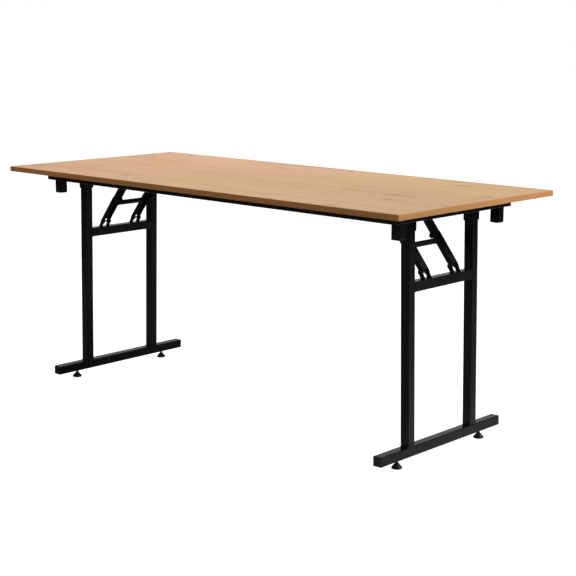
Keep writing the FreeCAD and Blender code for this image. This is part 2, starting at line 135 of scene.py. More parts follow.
# %% Oak figure group
FLOAT, VECTOR = "NodeSocketFloat", "NodeSocketVector"
KNOT_CELLS, KNOT_PLACE = (5.4, 9.0, 9.0), (0.37, 0.21, 0)
KNOT_REACH, KNOT_RAGGED, KNOT_BEND = 0.25, 0.24, 3.0
RAGGED_STRETCH, BROAD_STRETCH, STREAK_STRETCH = (14, 70, 70), (1.5, 6.0, 6.0), (1.5, 46, 46)
PORE_STRETCH, RING_STRETCH = (17, 560, 560), (0.30, 2.2, 2.2)
DRIFT_STRETCH, DRIFT_PLACE = (1.3, 2.2, 2.2), (3.1, 0.4, 0)
TONE_BASE, BROAD_WEIGHT = 0.09, 0.34
STREAK_WEIGHT, RING_WEIGHT, PORE_WEIGHT = 0.26, 0.09, 0.13
oak_figure, oak_in, oak_out = new_group(
    "oak_figure", "ShaderNodeTree",
    [("Vector", VECTOR, None), ("Knot Share", FLOAT, 0.4)],
    [("Tone", FLOAT), ("Knot", FLOAT), ("Pores", FLOAT), ("Drift", FLOAT)])
grain_vector = oak_in.outputs["Vector"]


def stretched(tree, vector, scale, place=(0, 0, 0)):
    """Coordinates stretched along the grain."""
    made = add_node(tree, "ShaderNodeMapping", {"Vector": vector, "Scale": scale, "Location": place})
    return made.outputs[0]


def noise(tree, vector, scale, detail, rough=0.5, distortion=0.0):
    """Noise value of some coordinates."""
    made = add_node(tree, "ShaderNodeTexNoise", {"Vector": vector, "Scale": scale, "Detail": detail,
                                                 "Roughness": rough, "Distortion": distortion})
    return made.outputs["Fac"]


def grain_noise(stretch, detail, rough, distortion=0.0, place=(0, 0, 0)):
    """Noise that is drawn out along the grain of the oak figure."""
    return noise(oak_figure, stretched(oak_figure, grain_vector, stretch, place), 1.0, detail, rough, distortion)


knot_cells = add_node(oak_figure, "ShaderNodeTexVoronoi",
                      {"Vector": stretched(oak_figure, grain_vector, KNOT_CELLS, KNOT_PLACE),
                       "Scale": 1.0, "Randomness": 1.0})
knot_pick = add_node(oak_figure, "ShaderNodeSeparateColor", {"Color": knot_cells.outputs["Color"]}).outputs[0]
knot_kept = maths(oak_figure, "LESS_THAN", knot_pick, oak_in.outputs["Knot Share"])
ragged = maths(oak_figure, "SUBTRACT", grain_noise(RAGGED_STRETCH, 4, 0.6), 0.5)
ragged = maths(oak_figure, "MULTIPLY", ragged, KNOT_RAGGED)
knot_edge = maths(oak_figure, "ADD", knot_cells.outputs["Distance"], ragged)
knot_near = add_node(oak_figure, "ShaderNodeMapRange",
                     {"Value": knot_edge, "From Min": 0.0, "From Max": KNOT_REACH, "To Min": 1.0, "To Max": 0.0},
                     interpolation_type="SMOOTHSTEP").outputs[0]
knot_mask = maths(oak_figure, "MULTIPLY", knot_near, knot_kept)
broad = grain_noise(BROAD_STRETCH, 4, 0.55, 0.5)
streak = grain_noise(STREAK_STRETCH, 6, 0.64, 0.2)
pores = grain_noise(PORE_STRETCH, 2, 0.6)
rings = add_node(oak_figure, "ShaderNodeTexWave",
                 {"Vector": stretched(oak_figure, grain_vector, RING_STRETCH), "Scale": 4.0, "Distortion": 14.0,
                  "Detail": 4.0, "Detail Scale": 0.9, "Detail Roughness": 0.65,
                  "Phase Offset": maths(oak_figure, "MULTIPLY", knot_near, KNOT_BEND)},
                 wave_type="BANDS", bands_direction="Y").outputs["Fac"]
drift = grain_noise(DRIFT_STRETCH, 2, 0.5, place=DRIFT_PLACE)
tone = maths(oak_figure, "ADD", maths(oak_figure, "MULTIPLY", broad, BROAD_WEIGHT), TONE_BASE)
for layer, weight in ((streak, STREAK_WEIGHT), (rings, RING_WEIGHT), (pores, PORE_WEIGHT)):
    tone = maths(oak_figure, "ADD", tone, maths(oak_figure, "MULTIPLY", layer, weight))
for title, socket in (("Tone", tone), ("Knot", knot_mask), ("Pores", pores), ("Drift", drift)):
    oak_figure.links.new(socket, oak_out.inputs[title])
print("oak figure nodes", len(oak_figure.nodes))

# %% [markdown]
# Powder coat, moulded plastic and plated steel all have a fine skin: tiny bumps, and a gloss that changes
# a little from place to place where hands and cloths have been. One group gives both, with the size of
# the bumps as an input, so each finish sets its own. It also marks sparse pale flecks.

# %% Skin group
FLECK_SIZE, FLECK_START, FLECK_FULL = 0.35, 0.62, 0.78
skin, skin_in, skin_out = new_group(
    "skin", "ShaderNodeTree",
    [("Vector", VECTOR, None), ("Bumps Per Metre", FLOAT, 900.0), ("Smudges Per Metre", FLOAT, 9.0)],
    [("Height", FLOAT), ("Smudge", FLOAT), ("Fleck", FLOAT)])
skin_vector, skin_bumps = skin_in.outputs["Vector"], skin_in.outputs["Bumps Per Metre"]
height = noise(skin, skin_vector, skin_bumps, 2, 0.5)
smudge = noise(skin, skin_vector, skin_in.outputs["Smudges Per Metre"], 5, 0.6, 0.4)
flecks = noise(skin, skin_vector, maths(skin, "MULTIPLY", skin_bumps, FLECK_SIZE), 3, 0.7)
flecks = add_node(skin, "ShaderNodeMapRange",
                  {"Value": flecks, "From Min": FLECK_START, "From Max": FLECK_FULL}).outputs[0]
for title, socket in (("Height", height), ("Smudge", smudge), ("Fleck", flecks)):
    skin.links.new(socket, skin_out.inputs[title])
print("skin nodes", len(skin.nodes))

# %% [markdown]
# A material starts from the Principled shader. What stays the same over the whole surface is set on the
# shader's own sockets; only colour, roughness and the bump come from nodes.

# %% Material helpers
def new_material(name, **constants):
    """Makes a material and returns it with its tree, its shader and the object coordinates."""
    made = bpy.data.materials.new(name)
    made.use_nodes = True
    tree = made.node_tree
    shader = tree.nodes["Principled BSDF"]
    for socket, value in constants.items():
        shader.inputs[socket.replace("_", " ")].default_value = value
    where = tree.nodes.new("ShaderNodeTexCoord").outputs["Object"]
    return made, tree, shader, where


def between(tree, value, low, high, start=0.0, end=1.0):
    """Maps a value that runs from start to end to the range from low to high."""
    return add_node(tree, "ShaderNodeMapRange", {"Value": value, "From Min": start, "From Max": end,
                                                 "To Min": low, "To Max": high}).outputs[0]


def mixed(tree, factor, first, second, blend="MIX"):
    """Mixes two colours."""
    return add_node(tree, "ShaderNodeMix", {0: factor, 6: first, 7: second},
                    data_type="RGBA", blend_type=blend).outputs[2]


def ramp(tree, value, stops):
    """Colour ramp through the given places and colours."""
    made = add_node(tree, "ShaderNodeValToRGB", {"Fac": value})
    elements = made.color_ramp.elements
    while len(elements) < len(stops):
        elements.new(0.5)
    for element, (place, colour) in zip(elements, stops):
        element.position = place
        element.color = (*colour, 1)
    return made.outputs["Color"]


def bumped(tree, shader, height, distance, strength):
    """Feeds a height into the shader's normal."""
    made = add_node(tree, "ShaderNodeBump", {"Height": height, "Distance": distance, "Strength": strength})
    tree.links.new(made.outputs[0], shader.inputs["Normal"])


print("material helpers ready")

# %% [markdown]
# The board is a light, warm oak print under a satin melamine skin. Its edge bands carry the same oak, a shade deeper
# and redder. The bands on the short ends are laid crosswise, so there the grain is turned. All bands are one edging,
# but their colours carry painted light: the long bands get darker colours, a painted shade for the shaded front
# edge, and the end bands lighter ones, painted light for the lit right end.

# %% Oak finishes
OAK_SPECULAR, OAK_ROUGHNESS = 0.25, (0.62, 0.50)
KNOT_STRENGTH, PORE_DEPTH, PORE_STRENGTH = 0.55, 0.0002, 0.35
HUE_STOPS = [(0.36, (1.0, 0.935, 0.89)), (0.64, (0.93, 0.935, 0.72))]
BOARD_STOPS = [(0.30, (0.45, 0.264, 0.148)), (0.47, (0.63, 0.399, 0.246)), (0.68, (0.735, 0.489, 0.316))]
# Painted shade and light: the long bands' colours and knots are darker and the end bands' lighter, though the edging
# is the same.
SHADED_BAND_STOPS = [(0.30, (0.39, 0.163, 0.052)), (0.5, (0.53, 0.235, 0.084)), (0.7, (0.63, 0.300, 0.119))]
LIT_END_STOPS = [(0.30, (0.495, 0.228, 0.091)), (0.5, (0.68, 0.335, 0.148)), (0.7, (0.79, 0.414, 0.198))]
BOARD_KNOT, SHADED_BAND_KNOT, LIT_END_KNOT = (0.30, 0.158, 0.072), (0.26, 0.14, 0.07), (0.30, 0.17, 0.09)
BOARD_KNOT_SHARE, BAND_KNOT_SHARE = 0.80, 0.2
QUARTER_TURN = math.pi / 2


def oak_material(name, stops, knot_colour, knot_share, turn, place):
    """Oak print with its own colours; turn gives the direction of the grain."""
    made, tree, shader, where = new_material(name, Specular_IOR_Level=OAK_SPECULAR)
    vector = add_node(tree, "ShaderNodeMapping",
                      {"Vector": where, "Rotation": (0, 0, turn), "Location": place}).outputs[0]
    figure = add_node(tree, "ShaderNodeGroup", {"Vector": vector, "Knot Share": knot_share},
                      node_tree=oak_figure).outputs
    colour = mixed(tree, 1.0, ramp(tree, figure["Tone"], stops), ramp(tree, figure["Drift"], HUE_STOPS), "MULTIPLY")
    knots = maths(tree, "MULTIPLY", figure["Knot"], KNOT_STRENGTH)
    colour = mixed(tree, knots, colour, (*knot_colour, 1))
    tree.links.new(colour, shader.inputs["Base Color"])
    tree.links.new(between(tree, figure["Tone"], *OAK_ROUGHNESS), shader.inputs["Roughness"])
    bumped(tree, shader, figure["Pores"], PORE_DEPTH, PORE_STRENGTH)
    return made


oak_laminate = oak_material("oak_laminate", BOARD_STOPS, BOARD_KNOT, BOARD_KNOT_SHARE, 0.0, (0, 0, 0))
# Painted shade: the long bands take the darker copy of the edging's colours.
oak_band_long_painted_shade = oak_material("oak_edge_band_long", SHADED_BAND_STOPS, SHADED_BAND_KNOT, BAND_KNOT_SHARE, 0.0, (0.4, 0.1, 0))
# Painted light: the end bands take the lighter copy of the edging's colours.
oak_band_end_painted_light = oak_material("oak_edge_band_end", LIT_END_STOPS, LIT_END_KNOT, BAND_KNOT_SHARE, QUARTER_TURN, (0.2, 0.3, 0))
print("oak finishes ready")

# %% [markdown]
# The frame is steel tube under a satin black powder coat, the caps and pads are moulded black plastic, the
# feet turn on black plated studs, and hidden screws, nuts and bushes are zinc and nylon. They differ in
# how dark they are, how glossy, and how coarse their skin is.

# %% Metal and plastic finishes
SMUDGE_COLOUR, SMUDGE_GLOSS = (0.3, 0.7), (0.25, 0.75)
FLECK_PALER, SKIN_STRENGTH = 3, 0.5


def skinned_material(name, dark, light, bumps, smudges, depth, rough, fleck=0.0, **constants):
    """Plain finish with a fine skin: colour and roughness drift between two values."""
    made, tree, shader, where = new_material(name, **constants)
    surface = add_node(tree, "ShaderNodeGroup", {"Vector": where, "Bumps Per Metre": bumps,
                                                 "Smudges Per Metre": smudges}, node_tree=skin).outputs
    share = between(tree, surface["Smudge"], 0.0, 1.0, *SMUDGE_COLOUR)
    colour = mixed(tree, share, (*dark, 1), (*light, 1))
    if fleck:
        paler = tuple(min(1.0, c * FLECK_PALER) for c in light)
        colour = mixed(tree, maths(tree, "MULTIPLY", surface["Fleck"], fleck), colour, (*paler, 1))
    tree.links.new(colour, shader.inputs["Base Color"])
    tree.links.new(between(tree, surface["Smudge"], *rough, *SMUDGE_GLOSS), shader.inputs["Roughness"])
    bumped(tree, shader, surface["Height"], depth, SKIN_STRENGTH)
    return made


powder_coat = skinned_material("black_powder_coat", (0.0030, 0.0028, 0.0027), (0.0048, 0.0045, 0.0044),
                               850.0, 7.0, 0.00003, (0.18, 0.28), 0.15, Specular_IOR_Level=0.28)
black_plastic = skinned_material("black_moulded_plastic", (0.0050, 0.0048, 0.0048), (0.0078, 0.0075, 0.0075),
                                 2200.0, 14.0, 0.00008, (0.46, 0.60), Specular_IOR_Level=0.35)
black_plated = skinned_material("black_plated_steel", (0.018, 0.018, 0.019), (0.034, 0.033, 0.034),
                                1500.0, 40.0, 0.00003, (0.28, 0.42), Metallic=0.6)
zinc_plated = skinned_material("zinc_plated_steel", (0.36, 0.37, 0.39), (0.55, 0.56, 0.57),
                               1800.0, 60.0, 0.00003, (0.26, 0.40), Metallic=1.0)
natural_nylon = skinned_material("natural_nylon", (0.66, 0.64, 0.58), (0.74, 0.73, 0.68),
                                 1600.0, 20.0, 0.00004, (0.40, 0.52), Subsurface_Weight=0.1)
print("metal and plastic finishes ready")

# %% [markdown]
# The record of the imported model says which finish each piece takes. The loop below follows it, so a piece
# that is added to the model with one of these finishes gets its material with no change here.

# %% Finish of every node
SLOT_FINISH = {"oak_laminate": oak_laminate, "oak_edge_band": oak_band_long_painted_shade, "black_powder_coat": powder_coat,
               "black_plastic": black_plastic, "nylon_bush": natural_nylon, "zinc_steel": zinc_plated,
               "black_zinc_steel": black_plated}
END_BANDS = ("right_edge_band", "left_edge_band")
node_slots = {s["node"]: s["material_slot"] for s in frame["record"]["subparts"]}
for name, node in frame["nodes"].items():
    # The end bands get the copy with painted light, the long bands the copy with painted shade.
    finish = oak_band_end_painted_light if name in END_BANDS else SLOT_FINISH[node_slots[name]]
    node.data.materials.clear()
    node.data.materials.append(finish)
print("finished nodes", len(node_slots))

# %% [markdown]
# Pieces that repeat are grown by Geometry Nodes from a mesh of bare points or edges. One helper runs a
# tree on such a mesh and hands back the plain result, with the modifier gone. The others make the bare
# meshes, and put a finished mesh on its body.

# %% Growing pieces with Geometry Nodes
GEOMETRY, MATERIAL = "NodeSocketGeometry", "NodeSocketMaterial"
SHARP_ANGLE = math.radians(38)


def grown(tree, seed_mesh, **values):
    """Runs a Geometry Nodes tree on a mesh and returns what it makes as a plain mesh."""
    holder = bpy.data.objects.new("seed", seed_mesh)
    scene.collection.objects.link(holder)
    modifier = holder.modifiers.new("grow", "NODES")
    modifier.node_group = tree
    for item in tree.interface.items_tree:
        if item.in_out == "INPUT" and item.name.replace(" ", "_") in values:
            modifier[item.identifier] = values[item.name.replace(" ", "_")]
    depsgraph = bpy.context.evaluated_depsgraph_get()
    result = bpy.data.meshes.new_from_object(holder.evaluated_get(depsgraph), depsgraph=depsgraph)
    holder.modifiers.remove(modifier)
    bpy.data.objects.remove(holder)
    return result


def seated(name, mesh, body, slot, *nodes):
    """Puts a finished mesh on its body, in place of the nodes that it stands for; the slot argument is not used."""
    mesh.name = name
    mesh.shade_smooth()
    mesh.set_sharp_from_angle(angle=SHARP_ANGLE)
    piece = bpy.data.objects.new(name, mesh)
    scene.collection.objects.link(piece)
    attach(piece, body)
    if nodes:
        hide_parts(*nodes)
    print(name, "on", body, "faces", len(mesh.polygons))


def seed_points(places):
    """Mesh of bare points, each with the direction that it faces."""
    mesh = bpy.data.meshes.new("points")
    mesh.from_pydata([p for p, _ in places], [], [])
    facing = mesh.attributes.new("facing", "FLOAT_VECTOR", "POINT")
    for number, (_, way) in enumerate(places):
        facing.data[number].vector = way
    return mesh


def seed_lines(lines):
    """Mesh of bare edges, one run of them for each line of points."""
    points, edges = [], []
    for line in lines:
        first = len(points)
        points.extend(line)
        edges.extend((first + i, first + i + 1) for i in range(len(line) - 1))
    mesh = bpy.data.meshes.new("lines")
    mesh.from_pydata(points, edges, [])
    return mesh


print("growing helpers ready")

# %% [markdown]
# Every pivot of the table is a rivet with a low domed head. A dome is a lathe: a short upright curve whose
# circle shrinks towards the top. The tree sets one head with its piece of shank on each point, turned to
# the way the point faces, so a rivet through two plates is two points back to back.

# %% Rivet tree
DOME_STEPS, DOME_SIDES, DOME_CLOSE, SHANK_SIDES = 9, 28, 0.985, 24
rivet_tree, rivet_in, rivet_out = new_group(
    "rivets", "GeometryNodeTree",
    [("Geometry", GEOMETRY, None), ("Head Radius", FLOAT, 0.007), ("Head Height", FLOAT, 0.002),
     ("Shank Radius", FLOAT, 0.004), ("Shank Length", FLOAT, 0.01), ("Finish", MATERIAL, None)],
    [("Geometry", GEOMETRY)])
rise = add_node(rivet_tree, "ShaderNodeCombineXYZ", {"Z": rivet_in.outputs["Head Height"]}).outputs[0]
stem = add_node(rivet_tree, "GeometryNodeCurvePrimitiveLine", {"End": rise}).outputs[0]
stem = add_node(rivet_tree, "GeometryNodeResampleCurve", {"Curve": stem, "Count": DOME_STEPS}).outputs[0]
share = add_node(rivet_tree, "GeometryNodeSplineParameter").outputs["Factor"]
fall = maths(rivet_tree, "POWER", maths(rivet_tree, "MULTIPLY", share, DOME_CLOSE), 2.0)
roundness = maths(rivet_tree, "SQRT", maths(rivet_tree, "SUBTRACT", 1.0, fall))
girth = maths(rivet_tree, "MULTIPLY", roundness, rivet_in.outputs["Head Radius"])
ring = add_node(rivet_tree, "GeometryNodeCurvePrimitiveCircle", {"Resolution": DOME_SIDES, "Radius": 1.0}).outputs[0]
dome = add_node(rivet_tree, "GeometryNodeCurveToMesh",
                {"Curve": stem, "Profile Curve": ring, "Scale": girth, "Fill Caps": True}).outputs[0]
shank = add_node(rivet_tree, "GeometryNodeMeshCylinder",
                 {"Vertices": SHANK_SIDES, "Radius": rivet_in.outputs["Shank Radius"],
                  "Depth": rivet_in.outputs["Shank Length"]}).outputs[0]
sink = add_node(rivet_tree, "ShaderNodeCombineXYZ",
                {"Z": maths(rivet_tree, "MULTIPLY", rivet_in.outputs["Shank Length"], -0.5)}).outputs[0]
shank = add_node(rivet_tree, "GeometryNodeTransform", {"Geometry": shank, "Translation": sink}).outputs[0]
rivet = add_node(rivet_tree, "GeometryNodeJoinGeometry", {0: dome})
rivet_tree.links.new(shank, rivet.inputs[0])
facing = add_node(rivet_tree, "GeometryNodeInputNamedAttribute", {"Name": "facing"},
                  data_type="FLOAT_VECTOR").outputs[0]
turned = add_node(rivet_tree, "FunctionNodeAlignRotationToVector", {"Vector": facing}, axis="Z").outputs[0]
row = add_node(rivet_tree, "GeometryNodeInstanceOnPoints",
               {"Points": rivet_in.outputs["Geometry"], "Instance": rivet.outputs[0], "Rotation": turned}).outputs[0]
row = add_node(rivet_tree, "GeometryNodeRealizeInstances", {"Geometry": row}).outputs[0]
row = add_node(rivet_tree, "GeometryNodeSetMaterial",
               {"Geometry": row, "Material": rivet_in.outputs["Finish"]}).outputs[0]
rivet_tree.links.new(row, rivet_out.inputs["Geometry"])
print("rivet tree nodes", len(rivet_tree.nodes))

# %% [markdown]
# The places of most rivets follow from the joints of the model: the leg's hinge and the foot of the stays.
# The knee, where the linkage is open, has no joint, so its place is given. Sizes are the CAD sizes in metres.

# %% Rivets of the hinges, the lugs and the knees
joints = {j["name"]: j for j in frame["joints"]}
SIDES = (("right", 1), ("left", -1))
UPRIGHT_Y, STAY_Y = 0.1422, 0.066
HINGE_GRIP, LUG_GRIP, ARM_HALF, ARM_PLATE = 0.018, 0.0158, 0.0125, 0.002
HINGE_SHANK, STAY_SHANK = 0.004, 0.003
HEAD_SHARE, HEAD_HEIGHT = 1.75, 0.002
KNEE = Vector((0.599717, 0, 0.595975))


def rivet_ends(centre, rows, grip):
    """Both ends of the rivets that cross the plates at each row."""
    return [((centre[0], y + way * grip, centre[2]), (0, way, 0)) for y in rows for way in (-1, 1)]


def rivet_piece(name, ends, shank_radius, shank_length, body, *nodes):
    """Grows a set of rivets and seats them."""
    mesh = grown(rivet_tree, seed_points(ends), Head_Radius=shank_radius * HEAD_SHARE, Head_Height=HEAD_HEIGHT,
                 Shank_Radius=shank_radius, Shank_Length=shank_length, Finish=powder_coat)
    seated(name, mesh, body, "black_powder_coat", *nodes)


hinge_ends = []
for side, sign in SIDES:
    hinge_ends += rivet_ends(joints[f"{side}_leg_fold"]["pos_m"], (-UPRIGHT_Y, UPRIGHT_Y), HINGE_GRIP)
    lug_ends = rivet_ends(joints[f"{side}_lower_stay_turn"]["pos_m"], (-STAY_Y, STAY_Y), LUG_GRIP)
    rivet_piece(f"{side}_lug_rivets", lug_ends, STAY_SHANK, LUG_GRIP, f"{side}_leg", f"{side}_stay_foot_rivets")
    knee_ends = rivet_ends((sign * KNEE.x, 0, KNEE.z), (-STAY_Y, STAY_Y), ARM_HALF)
    rivet_piece(f"{side}_knee_domes", knee_ends, STAY_SHANK, ARM_PLATE,
                f"{side}_lower_stays", f"{side}_knee_rivets")
rivet_piece("leg_hinge_rivets", hinge_ends, HINGE_SHANK, HINGE_GRIP, "table_top", "hinge_rivets")

# %% [markdown]
# The levelling feet screw in and out on a threaded stud. A thread is a ridge along a spiral curve around
# a core, so the tree sweeps a small diamond along a spiral and joins it to a cylinder.

# %% Thread tree
THREAD_SIDES, RIDGE_SIDES = 26, 4
thread_tree, thread_in, thread_out = new_group(
    "thread", "GeometryNodeTree",
    [("Geometry", GEOMETRY, None), ("Length", FLOAT, 0.04), ("Core Radius", FLOAT, 0.0034),
     ("Ridge", FLOAT, 0.0006), ("Pitch", FLOAT, 0.00125), ("Finish", MATERIAL, None)],
    [("Geometry", GEOMETRY)])
length, core_radius = thread_in.outputs["Length"], thread_in.outputs["Core Radius"]
ridge_margin = maths(thread_tree, "MULTIPLY", thread_in.outputs["Ridge"], 2.0)
ridge_rise = maths(thread_tree, "SUBTRACT", length, ridge_margin)
spiral = add_node(thread_tree, "GeometryNodeCurveSpiral",
                  {"Resolution": THREAD_SIDES, "Start Radius": core_radius, "End Radius": core_radius,
                   "Height": ridge_rise,
                   "Rotations": maths(thread_tree, "DIVIDE", ridge_rise, thread_in.outputs["Pitch"])}).outputs[0]
spiral = add_node(thread_tree, "GeometryNodeSetCurveNormal", {"Curve": spiral}, mode="Z_UP").outputs[0]
diamond = add_node(thread_tree, "GeometryNodeCurvePrimitiveCircle",
                   {"Resolution": RIDGE_SIDES, "Radius": thread_in.outputs["Ridge"]}).outputs[0]
ridge = add_node(thread_tree, "GeometryNodeCurveToMesh",
                 {"Curve": spiral, "Profile Curve": diamond, "Scale": 1.0, "Fill Caps": True}).outputs[0]
lift = add_node(thread_tree, "ShaderNodeCombineXYZ", {"Z": thread_in.outputs["Ridge"]}).outputs[0]
ridge = add_node(thread_tree, "GeometryNodeTransform", {"Geometry": ridge, "Translation": lift}).outputs[0]
core = add_node(thread_tree, "GeometryNodeMeshCylinder",
                {"Vertices": THREAD_SIDES, "Radius": core_radius, "Depth": length}).outputs[0]
middle = add_node(thread_tree, "ShaderNodeCombineXYZ",
                  {"Z": maths(thread_tree, "MULTIPLY", length, 0.5)}).outputs[0]
core = add_node(thread_tree, "GeometryNodeTransform", {"Geometry": core, "Translation": middle}).outputs[0]
stud = add_node(thread_tree, "GeometryNodeJoinGeometry", {0: core})
thread_tree.links.new(ridge, stud.inputs[0])
stud = add_node(thread_tree, "GeometryNodeRealizeInstances", {"Geometry": stud.outputs[0]}).outputs[0]
stud = add_node(thread_tree, "GeometryNodeSetMaterial",
                {"Geometry": stud, "Material": thread_in.outputs["Finish"]}).outputs[0]
thread_tree.links.new(stud, thread_out.inputs["Geometry"])
print("thread tree nodes", len(thread_tree.nodes))

# %% [markdown]
# Each stud stands on the line of its leg, which leans a little, while its pad stays flat on the floor.
# The pad is turned on a lathe in plain mesh code: a rounded rim, a straight cone and a short neck.

# %% Levelling feet
CORE_RADIUS, RIDGE, PITCH = 0.0034, 0.0006, 0.00125
MM_PER_M = 1000
PAD_TURNS = 48
PAD_PROFILE = [(0.0, 0.6), (9.8, 0.6), (10.4, 0.0), (13.2, 0.0), (14.0, 0.3), (14.5, 0.9), (14.75, 1.6),
               (14.75, 3.6), (14.6, 4.3), (14.1, 4.9), (13.2, 5.8), (11.4, 7.9), (9.6, 10.0), (7.8, 12.1),
               (6.2, 13.9), (5.3, 14.8), (4.8, 15.1), (4.5, 15.35), (4.1, 15.5), (0.0, 15.5)]


def lathe(profile, turns, centre):
    """Closed mesh from a profile of radius and height in millimetres, turned about an upright axis."""
    points, faces, rings = [], [], []
    for radius, height in profile:
        count = turns if radius > 0 else 1
        rings.append((len(points), count))
        for step in range(count):
            angle = 2 * math.pi * step / turns
            spot = Vector((radius * math.cos(angle), radius * math.sin(angle), height))
            points.append(centre + spot / MM_PER_M)
    for (low, low_count), (high, high_count) in zip(rings, rings[1:]):
        for step in range(turns):
            after = (step + 1) % turns
            if low_count == 1:
                faces.append((low, high + after, high + step))
            elif high_count == 1:
                faces.append((low + step, low + after, high))
            else:
                faces.append((low + step, low + after, high + after, high + step))
    mesh = bpy.data.meshes.new("lathe")
    mesh.from_pydata(points, [], faces)
    return mesh


for side, sign in SIDES:
    for end in ("front", "back"):
        body = f"{end}_{side}_foot"
        low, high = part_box(f"{body}_stud")
        down = Vector(joints[f"{body}_screw"]["axis"])
        hinge = Vector(joints[f"{side}_leg_fold"]["pos_m"])
        foot = hinge + down * ((low.z - hinge.z) / down.z)
        foot.y = (low.y + high.y) / 2
        stud_mesh = grown(thread_tree, seed_points([]), Length=(high.z - low.z) / -down.z,
                          Core_Radius=CORE_RADIUS, Ridge=RIDGE, Pitch=PITCH, Finish=black_plated)
        stud_lean = Vector((0, 0, 1)).rotation_difference(-down).to_matrix().to_4x4()
        stud_mesh.transform(Matrix.Translation(foot) @ stud_lean)
        seated(f"{body}_thread", stud_mesh, body, "black_zinc_steel", f"{body}_stud")
        low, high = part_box(f"{body}_pad")
        pad_mesh = lathe(PAD_PROFILE, PAD_TURNS, Vector(((low.x + high.x) / 2, (low.y + high.y) / 2, 0)))
        pad_mesh.materials.append(black_plastic)
        seated(f"{body}_moulded_pad", pad_mesh, body, "black_plastic", f"{body}_pad")

# %% [markdown]
# The frame is welded. A weld is a bead along the corner between two tubes, with the small ripples that the
# torch leaves. The tree sweeps a circle along bare edges and lets its size swell and shrink with length.

# %% Weld tree
BEAD_SIDES, RIPPLE_STEPS = 10, 4.0
SWELL_BASE, SWELL_SHARE = 0.8, 0.28
WANDER_SCALE, WANDER_BASE = 160.0, 0.5
weld_tree, weld_in, weld_out = new_group(
    "welds", "GeometryNodeTree",
    [("Geometry", GEOMETRY, None), ("Bead", FLOAT, 0.0016), ("Ripple", FLOAT, 0.0024), ("Finish", MATERIAL, None)],
    [("Geometry", GEOMETRY)])
seam = add_node(weld_tree, "GeometryNodeMeshToCurve", {"Mesh": weld_in.outputs["Geometry"]}).outputs[0]
seam = add_node(weld_tree, "GeometryNodeResampleCurve",
                {"Curve": seam, "Length": maths(weld_tree, "DIVIDE", weld_in.outputs["Ripple"], RIPPLE_STEPS)},
                mode="LENGTH").outputs[0]
run = add_node(weld_tree, "GeometryNodeSplineParameter").outputs["Length"]
beat = maths(weld_tree, "MULTIPLY", maths(weld_tree, "DIVIDE", run, weld_in.outputs["Ripple"]), math.pi)
swell = maths(weld_tree, "ABSOLUTE", maths(weld_tree, "SINE", beat))
swell = maths(weld_tree, "ADD", maths(weld_tree, "MULTIPLY", swell, SWELL_SHARE), SWELL_BASE)
wander = add_node(weld_tree, "ShaderNodeTexNoise", {"Scale": WANDER_SCALE, "Detail": 2.0}).outputs["Fac"]
swell = maths(weld_tree, "MULTIPLY", swell, maths(weld_tree, "ADD", wander, WANDER_BASE))
bead = maths(weld_tree, "MULTIPLY", swell, weld_in.outputs["Bead"])
ring = add_node(weld_tree, "GeometryNodeCurvePrimitiveCircle", {"Resolution": BEAD_SIDES, "Radius": 1.0}).outputs[0]
beads = add_node(weld_tree, "GeometryNodeCurveToMesh",
                 {"Curve": seam, "Profile Curve": ring, "Scale": bead, "Fill Caps": True}).outputs[0]
beads = add_node(weld_tree, "GeometryNodeRealizeInstances", {"Geometry": beads}).outputs[0]
beads = add_node(weld_tree, "GeometryNodeSetMaterial",
                 {"Geometry": beads, "Material": weld_in.outputs["Finish"]}).outputs[0]
weld_tree.links.new(beads, weld_out.inputs["Geometry"])
print("weld tree nodes", len(weld_tree.nodes))

# %% [markdown]
# The seams are listed where two pieces meet in a corner. Those of a leg are drawn with the hinge at the
# origin and the leg upright, and then set at the leg's lean, as the leg itself was drawn. Those of a tie
# tube run around its two ends. Both lists are drawn for the right side and mirrored for the left.

# %% Weld seams of the legs and the stays
TUBE = 0.028
HALF = TUBE / 2
LEAN = math.radians(1.45)
CROSSBAR_DROP, BAR_TOP = 0.1505, -0.600701
LUG_FOOT_X, LUG_FOOT_HALF, LUG_OUTER = 0.0028, 0.007, 0.0158
SEAM_END = 0.0015
TIE_RADIUS, TIE_HALF, TIE_STEPS, TIE_BEAD = 0.008, 0.0535, 24, 0.0012
KNEE_REACH, TIE_BELOW_KNEE, TIE_HEIGHT = 0.1023, 0.0209, 0.002


def across_x(y, z, start=-HALF + SEAM_END, end=HALF - SEAM_END):
    """Seam along X."""
    return [(start, y, z), (end, y, z)]


def mirrored(seams, sign):
    """The seams of the right side, or their mirror image for the left."""
    return [[Vector((sign * x, y, z)) for x, y, z in seam] for seam in seams]


def weld_piece(name, seams, body, **values):
    """Grows the beads along some seams and seats them."""
    mesh = grown(weld_tree, seed_lines(seams), Finish=powder_coat, **values)
    seated(name, mesh, body, "black_powder_coat")


leg_seams = []
for y in (-UPRIGHT_Y, UPRIGHT_Y):
    inner = y - math.copysign(HALF, y)
    leg_seams += [across_x(y - HALF, BAR_TOP), across_x(y + HALF, BAR_TOP)]
    leg_seams += [across_x(inner, -CROSSBAR_DROP), across_x(inner, -CROSSBAR_DROP - TUBE)]
for y in (-STAY_Y, STAY_Y):
    for outer in (y - LUG_OUTER, y + LUG_OUTER):
        leg_seams.append(across_x(outer, -CROSSBAR_DROP, LUG_FOOT_X - LUG_FOOT_HALF, LUG_FOOT_X + LUG_FOOT_HALF))

